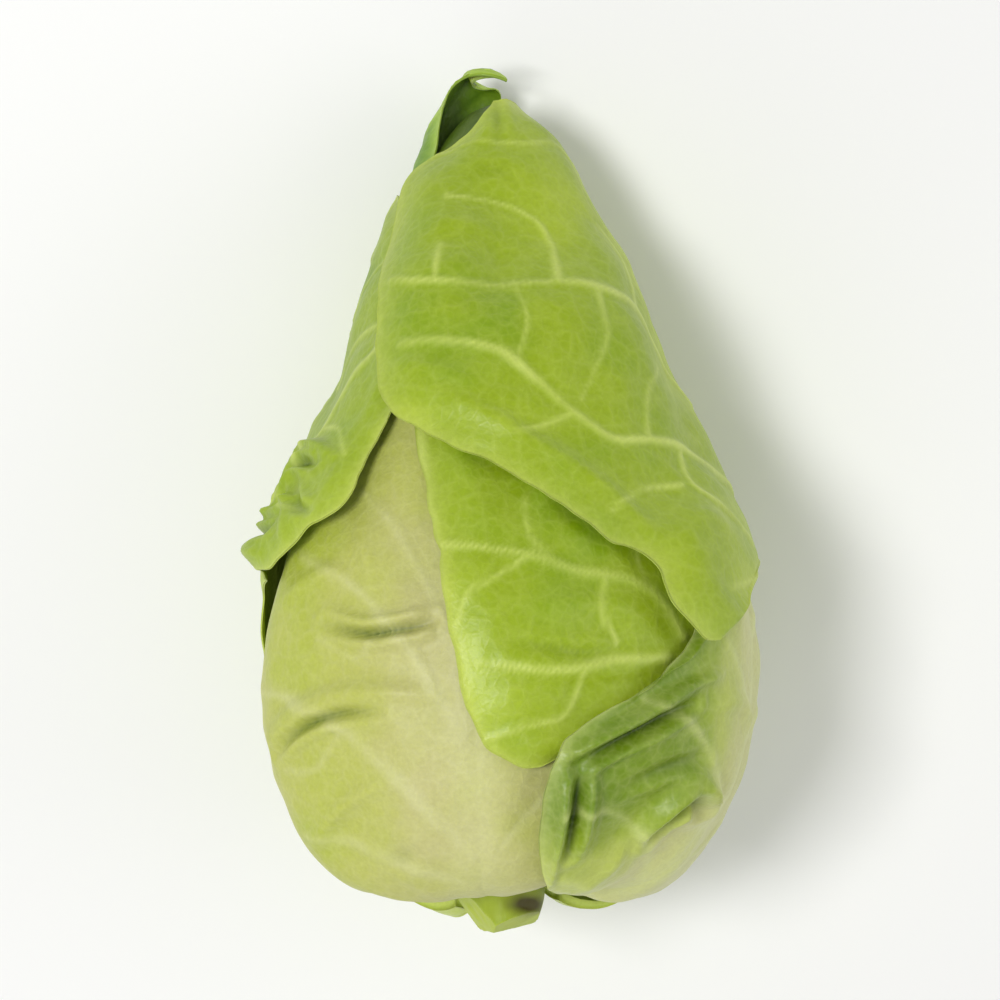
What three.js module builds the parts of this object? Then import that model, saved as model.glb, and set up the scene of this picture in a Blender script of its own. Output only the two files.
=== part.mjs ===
// A pointed cabbage, cut at the stem and laid on its side on a flat surface.
//
// The head is built in its own upright frame: the stem's axis is Z, the base is near z = 0, the tip is up,
// and the best side faces -Y. Azimuth 0 is that side, and azimuth 90 is its right. A place on the head is
// [azimuth, rise]: degrees round the stem, and per cent of the way along the meridian from the stem (0) to
// the tip (100). Each leaf is a closed sheet laid over all those inside it, from the heart outwards. At the
// end the whole head is turned on to its back. Lengths are in millimetres.
import * as THREE from "three";

const { degToRad, lerp, clamp, smoothstep } = THREE.MathUtils;

// Driving dimensions
const BLADE_THICKNESS = 1.3;
const LEAF_GAP = 0.7; // air between a leaf and what lies under it
const RIB_THICKNESS = 2.6; // what the midrib adds to the blade where the leaf leaves the stem
const RIB_HALF_WIDTH = 11; // of the midrib at the stem
const STEM_RADIUS = 12;
const STEM_TOP = 7.5;
const STEM_CUT = -8.5; // height of the cut face
const LIE_ANGLE = 18; // how far the tip dips below the level when the head lies on its side
const PRESSED = 0.8; // how deep the surface presses into the outermost leaf
const CELL_DEGREES = 10; // a leaf's facets, round the head
const MM_PER_DEGREE = 0.8; // round a typical girth
const MM_PER_RISE = 2.35;
const CELL_LENGTH = 11; // a leaf's facets, along it
const LEAN = -4; // how far the tip stands to the side of the belly
const BASE_SLOPE = 0.12; // of the base, down towards the front

// The heart's outline: radius and height, from beside the stem to the tip.
const HEART_PROFILE = [
  [14.5, 8], [26, 7], [38.5, 11.5], [47.5, 24], [52, 40], [53, 60], [52, 76], [48.5, 91], [43, 108],
  [37.5, 127], [31.8, 146], [25.5, 165], [19, 181], [12.5, 192], [6.5, 199], [0, 202.5],
];

const GREEN = 0x9dbb45;
const PALE = 0xc6cf86;
const DEEP = 0x86a838;
const CREAM = 0xd2d6a4;

// Leaves from the inside out. Each row is a line across the leaf: left margin, midrib, right margin. Each of
// the three is [azimuth, rise], with the millimetres that the leaf stands off there if it does.
const LEAVES = [
  {
    name: "tip_leaf",
    colour: DEEP,
    rows: [
      [[-75, 3], [-60, 3], [-45, 3]],
      [[-150, 16], [-90, 16], [-30, 16]],
      [[-195, 32], [-112, 32], [-30, 32]],
      [[-200, 52], [-115, 52], [-30, 52]],
      [[-200, 70], [-118, 70], [-36, 70]],
      [[-200, 82], [-120, 82], [-42, 81]],
      [[-165, 86], [-110, 87], [-55, 86]],
      [[-160, 91, 0.5], [-110, 92, 1.5], [-58, 91, 0.8]],
      [[-162, 95, 3], [-110, 96, 5], [-56, 95, 2.5]],
      [[-178, 98, 6], [-100, 99.6, 9], [-25, 98.5, 6]],
    ],
  },
  {
    name: "back_leaf",
    colour: PALE,
    rows: [
      [[165, 2], [178, 2], [191, 2]],
      [[125, 12], [178, 12], [228, 12]],
      [[105, 26], [178, 26], [245, 26]],
      [[103, 42], [180, 42], [250, 42]],
      [[110, 56], [182, 57], [248, 56]],
      [[128, 67], [184, 70], [238, 67]],
    ],
  },
  {
    name: "left_lower_leaf",
    colour: PALE,
    rows: [
      [[-116, 2], [-101, 2], [-86, 2]],
      [[-160, 10], [-116, 10], [-72, 10]],
      [[-186, 20], [-124, 20], [-62, 20]],
      [[-190, 32], [-124, 32], [-58, 32]],
      [[-184, 44], [-124, 44], [-64, 44]],
      [[-162, 54], [-124, 58], [-86, 54]],
    ],
  },
  {
    name: "front_leaf",
    colour: CREAM,
    rows: [
      [[-28, 2], [-9, 2], [12, 2]],
      [[-66, 8], [-8, 9], [38, 9]],
      [[-74, 15, 0.5], [-7, 17], [48, 18]],
      [[-75, 25, 1], [-8, 28], [54, 28]],
      [[-72, 36], [-13, 39], [54, 39]],
      [[-66, 48], [-17, 51], [46, 50]],
      [[-52, 60], [-21, 65], [30, 61]],
    ],
  },
  {
    name: "right_inner_leaf",
    colour: GREEN,
    rows: [
      [[90, 2], [103, 2], [117, 2]],
      [[80, 12], [106, 13], [140, 12]],
      [[58, 21], [106, 25], [150, 24]],
      [[30, 22], [106, 35], [156, 35]],
      [[8, 19.5, 1], [105, 44], [160, 46]],
      [[-4, 20, 1.2], [104, 51], [161, 54]],
      [[-10.5, 25, 0.8], [102, 56], [160, 60]],
      [[-13.5, 33, 0.6], [100, 61], [158, 65]],
      [[-18, 43, 0.4], [95, 66], [154, 69]],
      [[-26, 54], [86, 71], [146, 73]],
      [[-30, 64], [72, 76], [130, 76]],
    ],
  },
  {
    name: "right_lower_leaf",
    colour: PALE,
    rows: [
      [[48, 2], [65, 2], [80, 2]],
      [[16, 9, 0.6], [68, 8], [118, 10]],
      [[9, 16.5, 1.5], [70, 16], [130, 20]],
      [[11, 22.5, 2.5], [73, 25], [137, 30]],
      [[22, 26, 2.5], [76, 33], [139, 38]],
      [[36, 28.5, 1], [79, 40], [138, 46]],
      [[48, 34], [83, 47], [132, 53]],
      [[66, 45], [90, 56], [120, 60]],
    ],
  },
  {
    name: "left_wrapper_leaf",
    colour: GREEN,
    rows: [
      [[-168, 2], [-152, 2], [-138, 2]],
      [[-184, 13], [-150, 13], [-134, 13]],
      [[-190, 27], [-130, 25], [-112, 27]],
      [[-198, 39], [-112, 36], [-98, 37, 1]],
      [[-203, 49], [-106, 45], [-80, 38.5, 3.5]],
      [[-206, 56], [-102, 52], [-62, 38.5, 3.5]],
      [[-208, 63], [-98, 58], [-48, 42, 2.5]],
      [[-208, 70], [-94, 64], [-39, 43.5, 2]],
      [[-207, 77], [-90, 70], [-37, 49, 1]],
      [[-205, 81], [-88, 76], [-30, 57]],
      [[-202, 84], [-86, 81], [-20, 68]],
      [[-198, 86], [-86, 85], [-15, 78]],
    ],
  },
  {
    name: "right_wrapper_leaf",
    colour: GREEN,
    rests: true,
    rows: [
      [[126, 2], [140, 2], [155, 2]],
      [[126, 15], [148, 14], [176, 13]],
      [[110, 29], [144, 28], [202, 25]],
      [[84, 40.5, 1], [140, 41], [214, 36]],
      [[62, 37.5, 2], [138, 50], [221, 45]],
      [[45, 31.5, 2], [137, 59], [225, 52]],
      [[36, 34, 2], [136, 62], [228, 57]],
      [[33, 38.5, 2], [135, 64.5], [229, 61]],
      [[20, 41, 2], [134, 67], [230, 66]],
      [[-6, 48.5, 1.5], [131, 71], [232, 72]],
      [[-32, 55.5, 1], [126, 76], [233, 78]],
      [[-40, 66, 0.5], [118, 82], [234, 83]],
      [[-50, 76, 0.5], [108, 86], [230, 82]],
      [[-52, 84, 0.5], [98, 91], [214, 86]],
      [[-28, 88.5, 1], [92, 94], [186, 90]],
      [[8, 94, 1.5], [86, 98, 1.5], [148, 95]],
    ],
  },
];

// The heart's meridian, from the stem to the tip.
const meridian = new THREE.SplineCurve(HEART_PROFILE.map(([r, z]) => new THREE.Vector2(r, z)));
meridian.arcLengthDivisions = 600;
const TIP_HEIGHT = meridian.getPoint(1).y;
const BELLY_HEIGHT = 60;

// The head is not quite a turned shape: its tip stands to the side, and its base hangs lower at the front.
function skewed(point) {
  const lean = LEAN * ((point.z - BELLY_HEIGHT) / (TIP_HEIGHT - BELLY_HEIGHT)) ** 2;
  const hang = BASE_SLOPE * point.y * (1 - smoothstep(point.z, 10, BELLY_HEIGHT));
  return new THREE.Vector3(point.x + lean, point.y, point.z + hang);
}

// A point of the upright head, offset outwards from the heart's surface.
function headPoint(azimuth, rise, offset) {
  const along = clamp(rise / 100, 0, 1);
  const at = meridian.getPointAt(along);
  const way = meridian.getTangentAt(along);
  const radius = Math.max(at.x + way.y * offset, 0.2);
  const angle = degToRad(azimuth);
  const height = at.y - way.x * offset;
  return skewed(new THREE.Vector3(radius * Math.sin(angle), -radius * Math.cos(angle), height));
}

// How high the leaves laid so far stand off the heart, on a grid of azimuth and rise.
const MAP_AROUND = 180;
const MAP_ALONG = 125;
const SPREAD_AROUND = 5; // cells: a leaf bridges this far past an edge under it
const SPREAD_ALONG = 5;
const heights = new Float64Array(MAP_AROUND * MAP_ALONG);

function cellOf(azimuth, rise) {
  const around = (((azimuth / 360) % 1) + 1) % 1;
  const i = Math.floor(around * MAP_AROUND) % MAP_AROUND;
  const j = clamp(Math.floor((rise / 100) * MAP_ALONG), 0, MAP_ALONG - 1);
  return j * MAP_AROUND + i;
}

// The map with each cell raised by a filter over its neighbours along one direction.
function filtered(map, reachAround, reachAlong, combine) {
  const out = new Float64Array(map.length);
  for (let j = 0; j < MAP_ALONG; j++) {
    for (let i = 0; i < MAP_AROUND; i++) {
      const found = [];
      for (let dj = -reachAlong; dj <= reachAlong; dj++) {
        for (let di = -reachAround; di <= reachAround; di++) {
          const row = clamp(j + dj, 0, MAP_ALONG - 1);
          const column = (i + di + MAP_AROUND) % MAP_AROUND;
          found.push(map[row * MAP_AROUND + column]);
        }
      }
      out[j * MAP_AROUND + i] = combine(found);
    }
  }
  return out;
}

const highest = (values) => Math.max(...values);
const mean = (values) => values.reduce((sum, value) => sum + value, 0) / values.length;

// The surface that the next leaf lies on: never under what is there, and smooth over the edges.
function drapeSurface() {
  const wide = filtered(filtered(heights, 2 * SPREAD_AROUND, 0, highest), 0, 2 * SPREAD_ALONG, highest);
  return filtered(filtered(wide, SPREAD_AROUND, 0, mean), 0, SPREAD_ALONG, mean);
}

// A leaf's three lines as smooth curves of azimuth, rise and stand-off.
function leafLines(rows) {
  return [0, 1, 2].map((k) => {
    const points = rows.map((row) => new THREE.Vector3(row[k][0], row[k][1], row[k][2] ?? 0));
    return new THREE.CatmullRomCurve3(points, false, "catmullrom");
  });
}

// Where the facets of a leaf begin and end along it, 0 at the stem and 1 at its tip.
function leafSteps(rows) {
  const steps = [0];
  for (let k = 1; k < rows.length; k++) {
    const moves = rows[k].map(([azimuth, rise], i) =>
      Math.hypot((azimuth - rows[k - 1][i][0]) * MM_PER_DEGREE, (rise - rows[k - 1][i][1]) * MM_PER_RISE),
    );
    const cells = Math.ceil(Math.max(...moves) / CELL_LENGTH);
    for (let i = 1; i <= cells; i++) {
      steps.push((k - 1 + i / cells) / (rows.length - 1));
    }
  }
  return steps;
}

// The place on the head at u across the leaf, -1 to 1, and v along it, 0 to 1.
function leafPlace([left, rib, right], u, v) {
  const middle = rib.getPoint(v);
  const margin = (u < 0 ? left : right).getPoint(v);
  const place = middle.clone().lerp(margin, Math.abs(u));
  place.z = lerp(middle.z, margin.z, u ** 4);
  return place;
}

// Flattens the points of an outer face that the surface under the lying head reaches.
const lieAngle = degToRad(LIE_ANGLE);
const downwards = new THREE.Vector3(0, Math.cos(lieAngle), Math.sin(lieAngle));

function press(points) {
  const deepest = Math.max(...points.map((point) => point.dot(downwards)));
  for (const point of points) {
    const beyond = point.dot(downwards) - (deepest - PRESSED);
    point.addScaledVector(downwards, -Math.max(beyond, 0));
  }
}

// One leaf as a closed sheet. It lies on the drape surface, and then the map takes it in.
function leafGeometry({ rows, rests }) {
  const lines = leafLines(rows);
  const steps = leafSteps(rows);
  const span = Math.max(...rows.map(([left, , right]) => right[0] - left[0]));
  const columns = 2 * Math.ceil(span / CELL_DEGREES / 2);
  const under = drapeSurface();
  const inner = [];
  const outer = [];
  const places = [];
  for (const v of steps) {
    const ribWidth = RIB_HALF_WIDTH * (1 - 0.8 * v);
    for (let i = 0; i <= columns; i++) {
      const u = (2 * i) / columns - 1;
      const place = leafPlace(lines, u, v);
      const low = under[cellOf(place.x, place.y)] + LEAF_GAP;
      const swell = RIB_THICKNESS * (1 - v) ** 1.5 * Math.exp(-((ribDistance(lines, u, v) / ribWidth) ** 2));
      const high = low + BLADE_THICKNESS + swell;
      places.push([place.x, place.y, high]);
      inner.push(headPoint(place.x, place.y, low + place.z));
      outer.push(headPoint(place.x, place.y, high + place.z));
    }
  }
  raiseMap(places, columns + 1);
  if (rests) {
    press(outer);
  }
  return closedSheet(inner, outer, columns + 1);
}

// Distance in millimetres from the midrib, measured round the head.
function ribDistance(lines, u, v) {
  const place = leafPlace(lines, u, v);
  const rib = lines[1].getPoint(v);
  const radius = meridian.getPointAt(clamp(rib.y / 100, 0, 1)).x;
  return Math.abs(degToRad(place.x - rib.x)) * radius;
}

// Takes a leaf's outer face into the map of heights.
function raiseMap(places, wide) {
  const steps = 10;
  const long = places.length / wide;
  for (let j = 0; j < long - 1; j++) {
    for (let i = 0; i < wide - 1; i++) {
      const [a, b, c, d] = [j * wide + i, j * wide + i + 1, (j + 1) * wide + i, (j + 1) * wide + i + 1];
      for (let q = 0; q <= steps; q++) {
        for (let p = 0; p <= steps; p++) {
          const [azimuth, rise, high] = [0, 1, 2].map((k) =>
            lerp(
              lerp(places[a][k], places[b][k], p / steps),
              lerp(places[c][k], places[d][k], p / steps),
              q / steps,
            ),
          );
          const cell = cellOf(azimuth, rise);
          heights[cell] = Math.max(heights[cell], high);
        }
      }
    }
  }
}

// Two matching grids of points, joined round their edges into one closed body.
function closedSheet(inner, outer, wide) {
  const triangles = [];
  const shift = inner.length;
  const long = shift / wide;
  const quad = (a, b, c, d) => triangles.push(a, b, c, a, c, d);
  for (let j = 0; j < long - 1; j++) {
    for (let i = 0; i < wide - 1; i++) {
      const a = j * wide + i;
      quad(shift + a, shift + a + 1, shift + a + wide + 1, shift + a + wide);
      quad(a + 1, a, a + wide, a + wide + 1);
    }
  }
  for (let i = 0; i < wide - 1; i++) {
    const top = (long - 1) * wide + i;
    quad(i, i + 1, shift + i + 1, shift + i);
    quad(top + 1, top, shift + top, shift + top + 1);
  }
  for (let j = 0; j < long - 1; j++) {
    const left = j * wide;
    const right = left + wide - 1;
    quad(left + wide, left, shift + left, shift + left + wide);
    quad(right, right + wide, shift + right + wide, shift + right);
  }
  const geometry = new THREE.BufferGeometry();
  const numbers = [...inner, ...outer].flatMap((point) => point.toArray());
  geometry.setAttribute("position", new THREE.Float32BufferAttribute(numbers, 3));
  geometry.setIndex(triangles);
  return geometry;
}

// A body turned about the stem's axis from its outline of radius and height, and skewed with the head.
function turned(outline, segments) {
  const points = outline.map(([r, z]) => new THREE.Vector2(r, z));
  const geometry = new THREE.LatheGeometry(points, segments).rotateX(Math.PI / 2);
  const position = geometry.getAttribute("position");
  for (let i = 0; i < position.count; i++) {
    const point = skewed(new THREE.Vector3().fromBufferAttribute(position, i));
    position.setXYZ(i, point.x, point.y, point.z);
  }
  return geometry;
}

function heartGeometry() {
  const steps = 26;
  const outline = [[0, HEART_PROFILE[0][1]]];
  for (let k = 0; k < steps; k++) {
    outline.push(meridian.getPointAt(k / steps).toArray());
  }
  outline.push([0, TIP_HEIGHT]);
  return turned(outline, 36);
}

function stemGeometry() {
  const outline = [
    [0, STEM_CUT],
    [STEM_RADIUS - 2, STEM_CUT],
    [STEM_RADIUS - 1, STEM_CUT + 1.5],
    [STEM_RADIUS, STEM_CUT + 8],
    [STEM_RADIUS, STEM_TOP],
    [0, STEM_TOP],
  ];
  return turned(outline, 24);
}

// The head lies on its back: its flank is on the surface, and the best side is up.
const lying = new THREE.Group();
lying.rotation.x = -(Math.PI / 2 + lieAngle);

function addPiece(name, colour, geometry) {
  const material = new THREE.MeshStandardMaterial({ color: colour, roughness: 0.5, metalness: 0 });
  const mesh = new THREE.Mesh(geometry, material);
  mesh.name = name;
  lying.add(mesh);
}

addPiece("stem", CREAM, stemGeometry());
addPiece("heart", CREAM, heartGeometry());
for (const leaf of LEAVES) {
  addPiece(leaf.name, leaf.colour, leafGeometry(leaf));
}

// The origin is at the middle of the footprint, on the surface.
const cabbage = new THREE.Group();
cabbage.add(lying);
const box = new THREE.Box3().setFromObject(cabbage, true);
const middle = box.getCenter(new THREE.Vector3());
lying.position.set(-middle.x, -middle.y, -box.min.z);
export default cabbage;
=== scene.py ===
import math

import bpy
import numpy as np
from mathutils import Matrix, Vector


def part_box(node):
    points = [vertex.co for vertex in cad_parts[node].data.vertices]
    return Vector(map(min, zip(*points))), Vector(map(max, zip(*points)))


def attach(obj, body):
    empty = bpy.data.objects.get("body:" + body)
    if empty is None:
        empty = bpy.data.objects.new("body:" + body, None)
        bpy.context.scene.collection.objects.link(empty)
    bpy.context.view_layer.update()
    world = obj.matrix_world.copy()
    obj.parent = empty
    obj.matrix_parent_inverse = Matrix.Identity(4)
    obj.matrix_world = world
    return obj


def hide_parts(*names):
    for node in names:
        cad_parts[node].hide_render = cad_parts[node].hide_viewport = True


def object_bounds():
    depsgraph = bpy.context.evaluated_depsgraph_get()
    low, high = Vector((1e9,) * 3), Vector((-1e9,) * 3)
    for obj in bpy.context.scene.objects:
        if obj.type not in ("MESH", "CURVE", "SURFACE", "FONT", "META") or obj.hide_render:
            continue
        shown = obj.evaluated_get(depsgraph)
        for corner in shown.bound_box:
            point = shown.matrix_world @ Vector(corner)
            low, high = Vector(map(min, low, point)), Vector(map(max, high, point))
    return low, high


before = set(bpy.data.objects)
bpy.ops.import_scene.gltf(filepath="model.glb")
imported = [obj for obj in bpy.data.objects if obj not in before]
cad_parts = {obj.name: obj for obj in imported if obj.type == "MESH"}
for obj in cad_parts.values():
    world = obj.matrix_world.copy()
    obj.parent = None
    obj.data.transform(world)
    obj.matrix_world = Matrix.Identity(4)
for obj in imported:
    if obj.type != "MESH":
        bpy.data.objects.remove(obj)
cad_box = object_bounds()

MM = 0.001
LIE_ANGLE = math.radians(18)  # how far the tip dips below the level
LEAN = -4.0  # how far the tip stands to the side of the belly
BELLY_HEIGHT = 60.0
BASE_SLOPE = 0.12  # of the base, down towards the front
BLADE = 0.8
GAP = 0.25  # between a leaf and what lies under it
OUTLINE_STEPS = 3000
NEAR_BATCH = 4000  # points measured against a line at a time
CROWDING = 0.55  # how much closer the steps across a leaf stand at its margins
INNER_BAND = 14  # steps of inner face along a leaf's edges

# The heart's outline: radius and height, from beside the stem to the tip.
PROFILE = [
    (14.5, 8), (25, 7), (36, 11.5), (44.5, 24), (50, 40), (52, 60), (49.5, 76), (44.8, 91),
    (39.2, 108), (34.8, 127), (30, 146), (24, 165), (18.5, 181), (12.5, 192), (6.5, 199), (0, 202.5),
]


# ---------------------------------------------------------------- curves and noise

def spline(points, at):
    """A smooth curve through points, at values from 0 to 1."""
    p = np.asarray(points, float)
    p = np.vstack([2 * p[0] - p[1], p, 2 * p[-1] - p[-2]])
    x = np.clip(at, 0, 1) * (len(points) - 1)
    i = np.minimum(x.astype(int), len(points) - 2)
    t = (x - i)[:, None]
    a, b, c, d = (p[i + k] for k in range(4))
    return 0.5 * (2 * b + (c - a) * t + (2 * a - 5 * b + 4 * c - d) * t**2 + (3 * b - a - 3 * c + d) * t**3)


LATTICE = np.random.default_rng(11).uniform(-1, 1, (32, 32, 32))


def noise(points, size, seed=0):
    """Smooth noise from -1 to 1 over points in space, with lumps of about that size."""
    p = points / size + np.array([3.7, 9.1, 5.3]) * (seed + 1)
    low = np.floor(p).astype(int)
    f = p - low
    f = f * f * (3 - 2 * f)
    total = np.zeros(len(p))
    for dx in (0, 1):
        for dy in (0, 1):
            for dz in (0, 1):
                share = np.ones(len(p))
                for axis, step in enumerate((dx, dy, dz)):
                    share *= f[:, axis] if step else 1 - f[:, axis]
                corner = (low + (dx, dy, dz)) % 32
                total += share * LATTICE[corner[:, 0], corner[:, 1], corner[:, 2]]
    return total


def smooth(x, low, high):
    t = np.clip((x - low) / (high - low), 0, 1)
    return t * t * (3 - 2 * t)


# ---------------------------------------------------------------- the head's surface

_line = spline(PROFILE, np.linspace(0, 1, OUTLINE_STEPS))
_along = np.concatenate([[0], np.cumsum(np.linalg.norm(np.diff(_line, axis=0), axis=1))])
_rises = 100 * _along / _along[-1]
_way = np.gradient(_line, axis=0)
_way /= np.linalg.norm(_way, axis=1)[:, None]
TIP_HEIGHT = PROFILE[-1][1]


def skewed(points):
    """The tip stands to the side, and the base hangs lower at the front."""
    x, y, z = points.T
    lean = LEAN * ((z - BELLY_HEIGHT) / (TIP_HEIGHT - BELLY_HEIGHT)) ** 2
    hang = BASE_SLOPE * y * (1 - smooth(z, 10, BELLY_HEIGHT))
    return np.stack([x + lean, y, z + hang], axis=1)


def head_points(azimuth, rise, offset):
    """Points of the upright head, offset outwards from the heart."""
    r, z, way_r, way_z = (np.interp(rise, _rises, v) for v in (_line[:, 0], _line[:, 1], _way[:, 0], _way[:, 1]))
    radius = np.maximum(r + way_z * offset, 0.2)
    height = z - way_r * offset
    angle = np.radians(azimuth)
    return skewed(np.stack([radius * np.sin(angle), -radius * np.cos(angle), height], axis=1))


def laid_down(points):
    """From the upright head's millimetres to the lying head's, before it is moved into place."""
    turn = -(math.pi / 2 + LIE_ANGLE)
    c, s = math.cos(turn), math.sin(turn)
    return points @ np.array([[1, 0, 0], [0, c, -s], [0, s, c]]).T


def heart_grid():
    rises = np.linspace(0, 100, 70)
    around = np.linspace(0, 360, 121)[:-1]
    azimuth, rise = np.meshgrid(around, rises)
    return azimuth.ravel(), rise.ravel(), len(around)


# The move into place comes from the frame's own heart: over its middle, and down to its lowest side.
_azimuth, _rise, _ = heart_grid()
_heart = laid_down(head_points(_azimuth, _rise, 0))
_low, _high = (np.array(corner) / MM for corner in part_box("heart"))
SHIFT = (_low + _high) / 2 - (_heart.min(axis=0) + _heart.max(axis=0)) / 2
SHIFT[2] = _low[2] - _heart.min(axis=0)[2]


def to_row(points):
    row = laid_down(points) + SHIFT
    row[:, 2] = np.maximum(row[:, 2], 0.0)
    return row * MM


# ---------------------------------------------------------------- how the leaves lie on each other

AROUND, ALONG = 360, 250
heights = np.zeros((ALONG, AROUND))


def slide(values, reach, axis, pick):
    """Each cell combined with its neighbours along one axis: azimuth joins up, rise doesn't."""
    pads = [(0, 0), (0, 0)]
    pads[axis] = (reach, reach)
    wide = np.pad(values, pads, mode="wrap" if axis == 1 else "edge")
    count = values.shape[axis]
    layers = [np.take(wide, range(k, k + count), axis=axis) for k in range(2 * reach + 1)]
    return pick(layers)


def drape():
    """The surface that the next leaf lies on: never under what is there, and smooth over the edges."""
    highest = lambda layers: np.max(layers, axis=0)
    mean = lambda layers: np.mean(layers, axis=0)
    wide = slide(slide(heights, 12, 1, highest), 12, 0, highest)
    return slide(slide(wide, 6, 1, mean), 6, 0, mean)


def sample(grid, azimuth, rise):
    x = (azimuth % 360) / 360 * AROUND - 0.5
    y = np.clip(rise / 100 * ALONG - 0.5, 0, ALONG - 1.001)
    i, j = np.floor(x).astype(int), np.floor(y).astype(int)
    fx, fy = x - i, y - j
    i0, i1 = i % AROUND, (i + 1) % AROUND
    low = grid[j, i0] * (1 - fx) + grid[j, i1] * fx
    high = grid[j + 1, i0] * (1 - fx) + grid[j + 1, i1] * fx
    return low * (1 - fy) + high * fy


def raise_map(azimuth, rise, high, shape):
    """Takes a leaf's outer face into the map of heights."""
    a, r, h = (v.reshape(shape) for v in (azimuth, rise, high))
    for p in (0, 0.34, 0.67):
        for q in (0, 0.34, 0.67):
            mix = [
                (v[:-1, :-1] * (1 - p) + v[:-1, 1:] * p) * (1 - q) + (v[1:, :-1] * (1 - p) + v[1:, 1:] * p) * q
                for v in (a, r, h)
            ]
            i = np.floor((mix[0] % 360) / 360 * AROUND).astype(int) % AROUND
            j = np.clip(np.floor(mix[1] / 100 * ALONG).astype(int), 0, ALONG - 1)
            np.maximum.at(heights, (j, i), mix[2])


# ---------------------------------------------------------------- leaves

def path_points(path, step=0.8):
    """A smooth line over the heart through (azimuth, rise) places, as points about that many mm apart."""
    rough = spline(path, np.linspace(0, 1, 200))
    points = head_points(rough[:, 0], rough[:, 1], 0)
    length = np.linalg.norm(np.diff(points, axis=0), axis=1).sum()
    fine = spline(path, np.linspace(0, 1, max(int(length / step), 3)))
    return head_points(fine[:, 0], fine[:, 1], 0)


def near(points, path, reach):
    """Distance from each point to a line, and how far along the line the nearest place is. Past reach it is 99."""
    line = path_points(path)
    distance = np.full(len(points), 99.0)
    along = np.zeros(len(points))
    close = np.all((points > line.min(axis=0) - reach) & (points < line.max(axis=0) + reach), axis=1)
    index = np.nonzero(close)[0]
    for part in np.array_split(index, len(index) // NEAR_BATCH + 1):
        gaps = np.linalg.norm(points[part][:, None, :] - line[None, :, :], axis=2)
        distance[part] = gaps.min(axis=1)
        along[part] = gaps.argmin(axis=1) / len(line)
    return distance, along


def grown_veins(lines, count, seed, sides=(-1, 1), start=0.08, end=0.9):
    """Lateral veins from the midrib towards the margins, with branches, as (path, width, height)."""
    rng = np.random.default_rng(seed)
    veins = []
    for side in sides:
        for k in range(count):
            v = start + (end - start) * (k + 0.5 + rng.uniform(-0.25, 0.25)) / count
            reach = 0.93 - 0.1 * rng.random()
            climb = 0.16 + 0.06 * rng.random()
            steps = np.linspace(0, 1, 7)
            us = side * reach * steps
            vs = np.clip(v + climb * steps**0.8 + rng.uniform(-0.008, 0.008, 7), 0, 0.985)
            path = place_on(lines, us, vs)[:, :2]
            veins.append((path, 1.5, 0.75))
            for bud in (2, 4):
                side_steps = np.linspace(0, 1, 4)
                up = 1 if rng.random() < 0.6 else -1
                twig_u = us[bud] + side * 0.22 * side_steps
                twig_v = np.clip(vs[bud] + up * 0.07 * side_steps + 0.02 * side_steps, 0, 0.985)
                veins.append((place_on(lines, np.clip(twig_u, -0.95, 0.95), twig_v)[:, :2], 1.0, 0.4))
    return veins


def leaf_lines(rows):
    filled = [[(*place, 0)[:3] for place in row] for row in rows]
    return [np.array([row[k] for row in filled], float) for k in range(3)]


def place_on(lines, u, v):
    """(azimuth, rise, stand-off) at u across the leaf, -1 to 1, and v along it, 0 to 1."""
    left, middle, right = (spline(line, v) for line in lines)
    margin = np.where((u < 0)[:, None], left, right)
    return middle + (margin - middle) * np.abs(u)[:, None]


def build_mesh(name, outer, inner, wide, layers, band, inside):
    """A thin leaf: the whole outer face, a band of inner face along the edges, and the rim between them.

    The inner face carries at least as much painted shade as inside says, so that a hollow looks dark.
    """
    long = len(outer) // wide
    j, i = np.meshgrid(np.arange(long - 1), np.arange(wide - 1), indexing="ij")
    a = (j * wide + i).ravel()
    front = np.stack([a, a + 1, a + wide + 1, a + wide], axis=1)
    edge = ((i < band) | (i >= wide - 1 - band) | (j < band) | (j >= long - 1 - band)).ravel()
    shift = len(outer)
    b = a[edge] + shift
    back = np.stack([b + 1, b, b + wide, b + wide + 1], axis=1)
    k = np.arange(wide - 1)
    top = (long - 1) * wide + k
    rows = np.arange(long - 1) * wide
    right = rows + wide - 1
    rim = np.concatenate([
        np.stack([k, shift + k, shift + k + 1, k + 1], axis=1)[:, ::-1],
        np.stack([top, top + 1, shift + top + 1, shift + top], axis=1)[:, ::-1],
        np.stack([rows, rows + wide, shift + rows + wide, shift + rows], axis=1)[:, ::-1],
        np.stack([right, shift + right, shift + right + wide, right + wide], axis=1)[:, ::-1],
    ])
    faces = np.concatenate([front, back, rim])
    points = np.concatenate([outer, inner])
    used = np.unique(faces)
    renumber = np.zeros(len(points), int)
    renumber[used] = np.arange(len(used))
    both = {key: np.tile(v, 2) for key, v in layers.items()}
    # painted shade on the inner face, at least as strong as inside
    both["painted_shade"][shift:] = np.maximum(both["painted_shade"][shift:], inside)
    return mesh_object(name, points[used], renumber[faces], {key: v[used] for key, v in both.items()})


def mesh_object(name, points, faces, layers):
    mesh = bpy.data.meshes.new(name)
    mesh.vertices.add(len(points))
    mesh.vertices.foreach_set("co", points.astype(np.float32).ravel())
    mesh.loops.add(faces.size)
    mesh.loops.foreach_set("vertex_index", faces.astype(np.int32).ravel())
    mesh.polygons.add(len(faces))
    mesh.polygons.foreach_set("loop_start", np.arange(0, faces.size, faces.shape[1], dtype=np.int32))
    mesh.update(calc_edges=True)
    mesh.validate()
    mesh.shade_smooth()
    for key, values in layers.items():
        layer = mesh.attributes.new(name=key, type="FLOAT", domain="POINT")
        layer.data.foreach_set("value", values.astype(np.float32))
    piece = bpy.data.objects.new(name, mesh)
    bpy.context.scene.collection.objects.link(piece)
    return piece


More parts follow.
